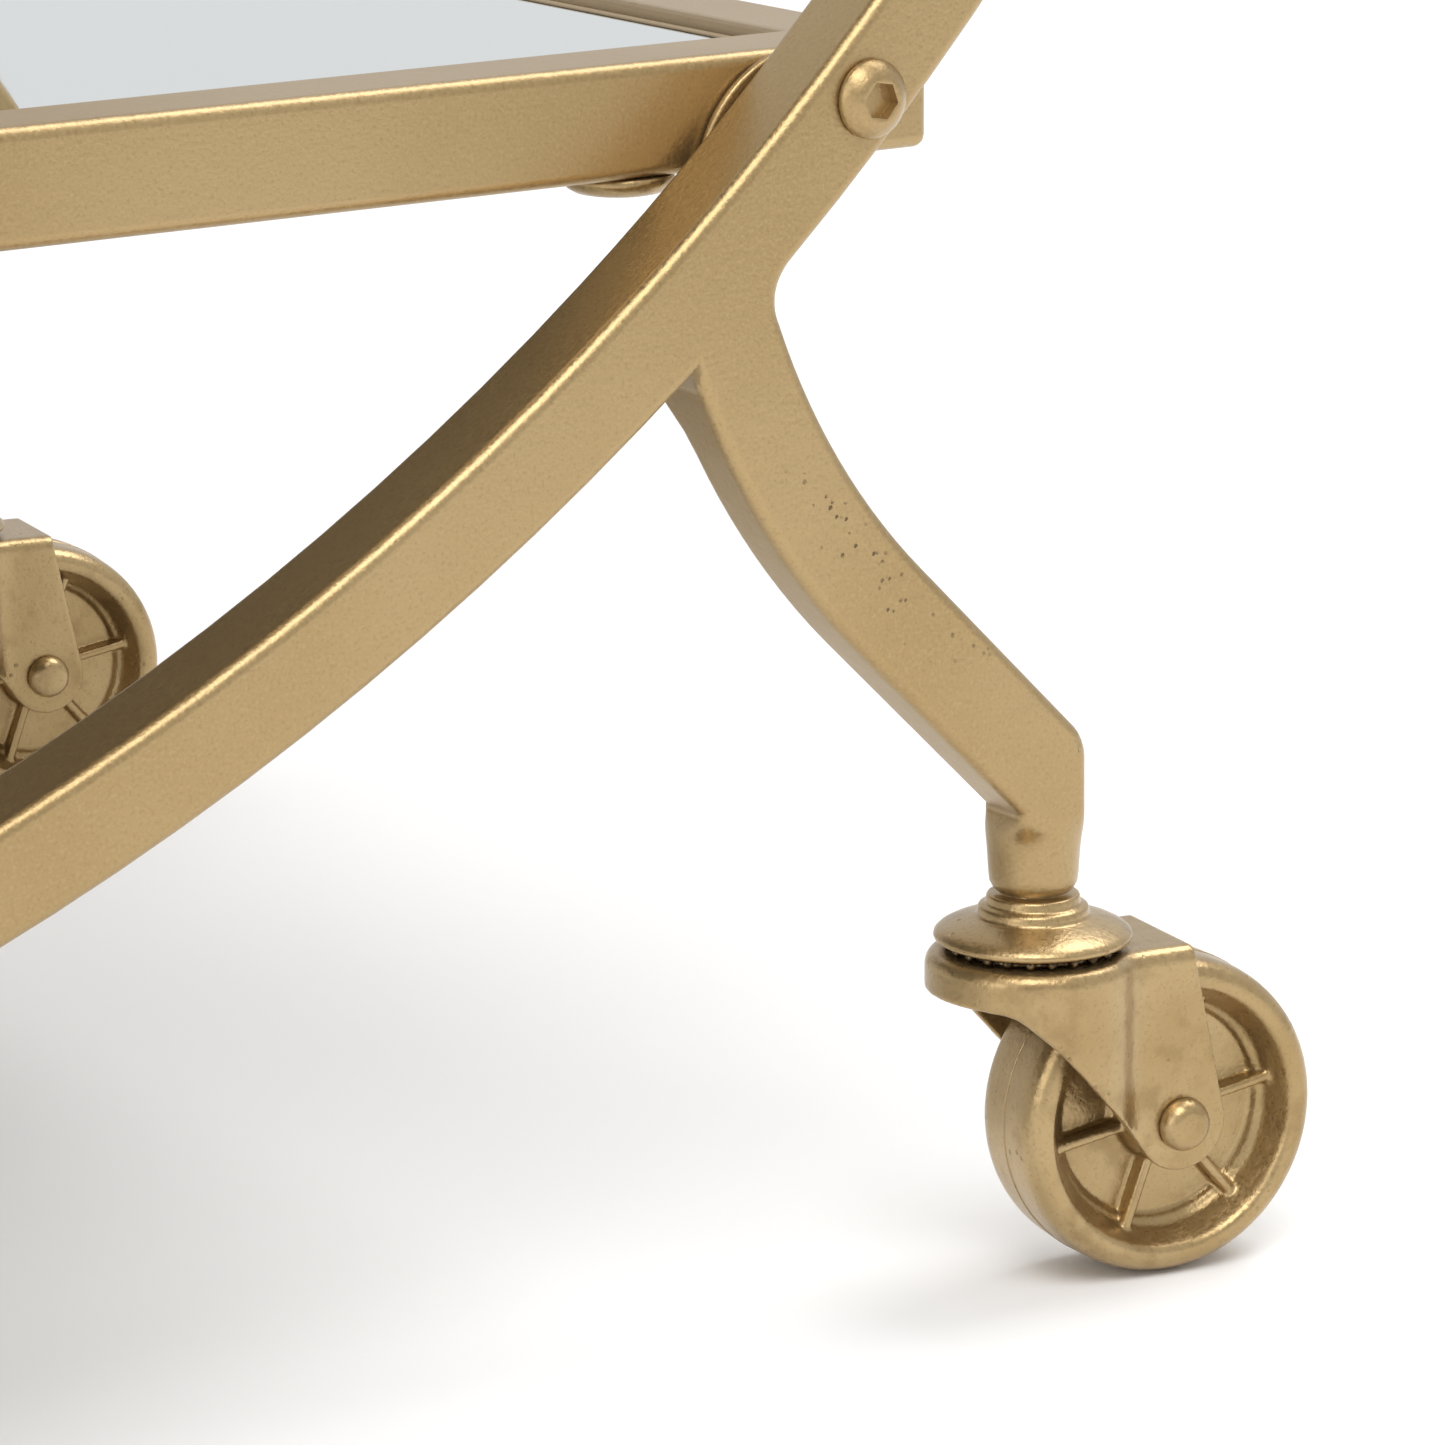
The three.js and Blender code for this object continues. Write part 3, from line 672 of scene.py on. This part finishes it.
def wheel():
    """Moulded wheel about Y: rounded tread, sunk web with six ribs on each face, hub."""
    half = ((0, 9.2), (6.2, 9.2), (6.9, 8.8), (7.6, 3.2), (9, 2.6), (16.8, 2.6), (17.4, 3.6),
            (18.0, 3.9), (18.5, 4.3), (20.6, 8.2), (21.1, 8.7), (21.6, 8.9), (22.9, 8.85),
            (24.0, 8.2), (24.8, 7.1), (25.15, 5.6), (25.25, 3.6))
    bm = turned((*half, *((r, -h) for r, h in reversed(half))), 120, "Y")
    for i in range(3):
        rib = bmesh.ops.create_cube(bm, size=1, matrix=Matrix.Rotation(
            -(0.18 + i * math.pi / 3), 4, "Y") @ Matrix.Diagonal((38, 11.2, 1.7, 1)))
        soften(bm, list({e for v in rib["verts"] for e in v.link_edges}), 0.5, 2)
    bm = worked(bm, ("REMESH", {"mode": "VOXEL", "voxel_size": VOXEL}),
                ("SMOOTH", {"factor": 0.5, "iterations": 4}))
    seam = turned(((24.9, -0.35), (25.36, -0.1), (25.36, 0.1), (24.9, 0.35), (24.9, -0.35)),
                  120, "Y")
    joined = bpy.data.meshes.new("seam")
    seam.to_mesh(joined)
    seam.free()
    bm.from_mesh(joined)
    bpy.data.meshes.remove(joined)
    return pattern(bm)


FORK, WHEEL, RACE = fork(), wheel(), ball_race()
for face, sy in FACES:
    for side, sx in SIDES:
        tag = f"{face}_{side}"
        stand = Matrix.Translation((sx * STEM_X, sy * FRAME_Y, 0)) @ Matrix.Rotation(
            CASTER_YAW + (0 if sx > 0 else math.pi), 4, "Z")
        axle = stand @ Matrix.Translation((TRAIL, 0, WHEEL_R))
        finished(STEM, f"{tag}_stem_cap", "frame", CAST_GOLD, "tube_paint", f"caster_stem_{tag}",
                 place=stand)
        finished(RACE, f"{tag}_ball_cage", "frame", BEARING, "bearing_steel", f"ball_race_{tag}",
                 place=stand, even=False)
        finished(FORK, f"{tag}_fork", f"fork_{tag}", CAST_GOLD, "tube_paint",
                 f"caster_fork_{tag}", place=stand, even=False)
        finished(RIVET, f"{tag}_rivet", f"fork_{tag}", CAST_GOLD, "tube_paint",
                 f"axle_rivet_{tag}", place=axle)
        finished(WHEEL, f"{tag}_wheel", f"wheel_{tag}", CAST_GOLD, "cast_paint",
                 f"caster_wheel_{tag}", place=axle, even=False)


# ---------------------------------------------------------------- studio


def studio_floor():
    floor = bmesh.new()
    bmesh.ops.create_grid(floor, x_segments=1, y_segments=1, size=9)
    floor = block_of(floor, "studio_floor")
    floor.location = (0, 0, -0.0002)
    paper = Finish("studio_paper")
    tone = paper.tint(paper.noise(400, 2), (0.93, 0.93, 0.93, 1), (0.95, 0.95, 0.95, 1))
    floor.data.materials.append(paper.made(Base_Color=tone, Roughness=0.75))


def softbox(name, place, target, size, power):
    lamp = bpy.data.lights.new(name, "AREA")
    lamp.shape, lamp.size, lamp.energy = "SQUARE", size, power
    box = bpy.data.objects.new(name, lamp)
    box.location = place
    box.rotation_mode = "QUATERNION"
    box.rotation_quaternion = (Vector(target) - Vector(place)).to_track_quat("-Z", "Y")
    bpy.context.scene.collection.objects.link(box)


studio_floor()
sky = bpy.data.worlds.new("studio")
sky.use_nodes = True
sky.node_tree.nodes["Background"].inputs["Color"].default_value = (1.0, 1.0, 1.0, 1)
sky.node_tree.nodes["Background"].inputs["Strength"].default_value = 0.75
bpy.context.scene.world = sky
softbox("front_left", (-0.35, -1.15, 1.95), (0.3, -0.2, 0.1), 1.3, 24)
softbox("overhead", (1.4, 0.0, 2.0), (0.3, -0.2, 0.1), 1.2, 20)
softbox("left_fill", (-1.9, -0.8, 0.8), (0.0, 0.0, 0.05), 1.2, 8)
bpy.context.scene.view_settings.view_transform = "Standard"

YAW, PITCH, ROLL = 0.60172, 0.24463, -0.00555
ahead = Vector((math.sin(YAW) * math.cos(PITCH), math.cos(YAW) * math.cos(PITCH),
                -math.sin(PITCH)))
level_right = Vector((math.cos(YAW), -math.sin(YAW), 0))
level_up = level_right.cross(ahead)
right = level_right * math.cos(ROLL) + level_up * math.sin(ROLL)
up = level_up * math.cos(ROLL) - level_right * math.sin(ROLL)
lens = bpy.data.cameras.new("camera")
lens.lens, lens.sensor_width, lens.clip_start = 161.8, 36, 0.05
camera = bpy.data.objects.new("camera", lens)
camera.matrix_world = Matrix((
    (right.x, up.x, -ahead.x, -0.2426), (right.y, up.y, -ahead.y, -0.9424),
    (right.z, up.z, -ahead.z, 0.3279), (0, 0, 0, 1)))
bpy.context.scene.collection.objects.link(camera)
bpy.context.scene.camera = camera
